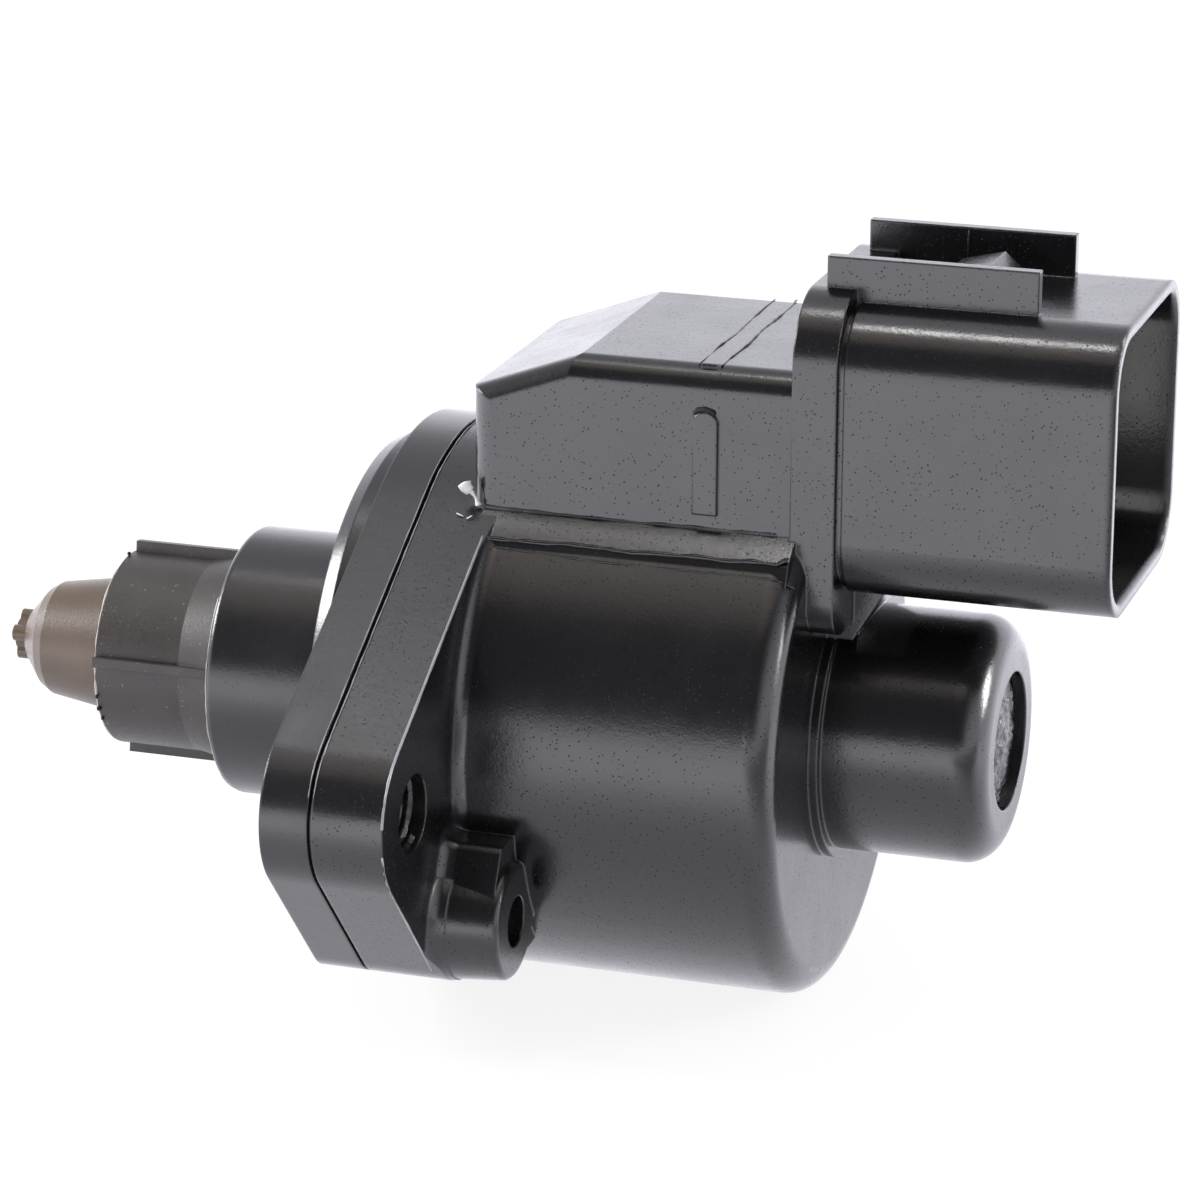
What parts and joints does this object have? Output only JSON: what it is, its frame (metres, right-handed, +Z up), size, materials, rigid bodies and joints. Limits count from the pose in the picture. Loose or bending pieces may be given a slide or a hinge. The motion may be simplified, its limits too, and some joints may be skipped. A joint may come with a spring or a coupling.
{
  "type": "idle air control valve",
  "caption": "Stepper-driven idle air control valve: black moulded motor housing with an eared flange, a box-shaped plug shroud, a finned guide sleeve and a tapered brown pintle.",
  "frame": {"origin": "on the valve axis, in the flange face that is clamped against the throttle body", "axes": "-X along the valve axis towards the pintle's tip, +X towards the plug's mouth, +Y across the ears, +Z up towards the plug shroud"},
  "size_m": [0.0975, 0.0768, 0.0635],
  "materials": {
    "housing_plastic": "glass-filled moulded, semigloss black",
    "plate_plastic": "glass-filled moulded, semigloss black",
    "sleeve_plastic": "moulded, matte black",
    "pintle_resin": "machined resin, satin olive brown",
    "bush_plastic": "moulded bearing plastic, natural",
    "hub_plastic": "moulded acetal, natural",
    "bobbin_plastic": "moulded, dark green",
    "seal_rubber": "moulded nitrile rubber, dark brown",
    "magnet_ferrite": "sintered ferrite, matte",
    "pole_steel": "pressed sheet, zinc plated",
    "shaft_steel": "rolled stainless steel",
    "bearing_steel": "ground bearing steel",
    "screw_steel": "zinc plated screws",
    "coil_copper": "enamelled copper winding",
    "terminal_tin": "tin plated copper alloy"
  },
  "bodies": {
    "valve_body": {"housing": "housing_plastic", "front_plate": "plate_plastic", "guide_sleeve": "sleeve_plastic", "guide_bush": "bush_plastic", "plate_seal": "seal_rubber", "assembly_screws": "screw_steel", "front_bearing_outer_ring": "bearing_steel", "rear_bearing_outer_ring": "bearing_steel", "wave_washer": "shaft_steel", "front_pole_cup": "pole_steel", "front_pole_plate": "pole_steel", "rear_pole_plate": "pole_steel", "rear_pole_cup": "pole_steel", "front_bobbin": "bobbin_plastic", "rear_bobbin": "bobbin_plastic", "front_coil": "coil_copper", "rear_coil": "coil_copper", "upper_terminal_near": "terminal_tin", "upper_terminal_middle": "terminal_tin", "upper_terminal_far": "terminal_tin", "lower_terminal_near": "terminal_tin", "lower_terminal_middle": "terminal_tin", "lower_terminal_far": "terminal_tin"},
    "rotor": {"rotor_hub": "hub_plastic", "rotor_magnet": "magnet_ferrite", "front_bearing_inner_ring": "bearing_steel", "rear_bearing_inner_ring": "bearing_steel"},
    "pintle_unit": {"pintle": "pintle_resin", "lead_screw": "shaft_steel"},
    "front_balls": {"front_bearing_balls": "bearing_steel"},
    "rear_balls": {"rear_bearing_balls": "bearing_steel"}
  },
  "joints": [
    {"name": "rotor_spin", "type": "hinge", "parent": "valve_body", "child": "rotor", "pos_m": [0, 0, 0], "axis": [1, 0, 0], "range_deg": [-1574, 224]},
    {"name": "pintle_slide", "type": "slide", "parent": "valve_body", "child": "pintle_unit", "axis": [1, 0, 0], "range_m": [-0.001, 0.007]},
    {"name": "front_ball_orbit", "type": "hinge", "parent": "valve_body", "child": "front_balls", "pos_m": [0.0016, 0, 0], "axis": [1, 0, 0], "range_deg": [-630, 90]},
    {"name": "rear_ball_orbit", "type": "hinge", "parent": "valve_body", "child": "rear_balls", "pos_m": [0.0381, 0, 0], "axis": [1, 0, 0], "range_deg": [-630, 90]}
  ],
  "couplings": [
    {"joint": "pintle_slide", "follows": "rotor_spin", "m_per_rad": -0.00025465},
    {"joint": "front_ball_orbit", "follows": "rotor_spin", "ratio": 0.4},
    {"joint": "rear_ball_orbit", "follows": "rotor_spin", "ratio": 0.4}
  ]
}
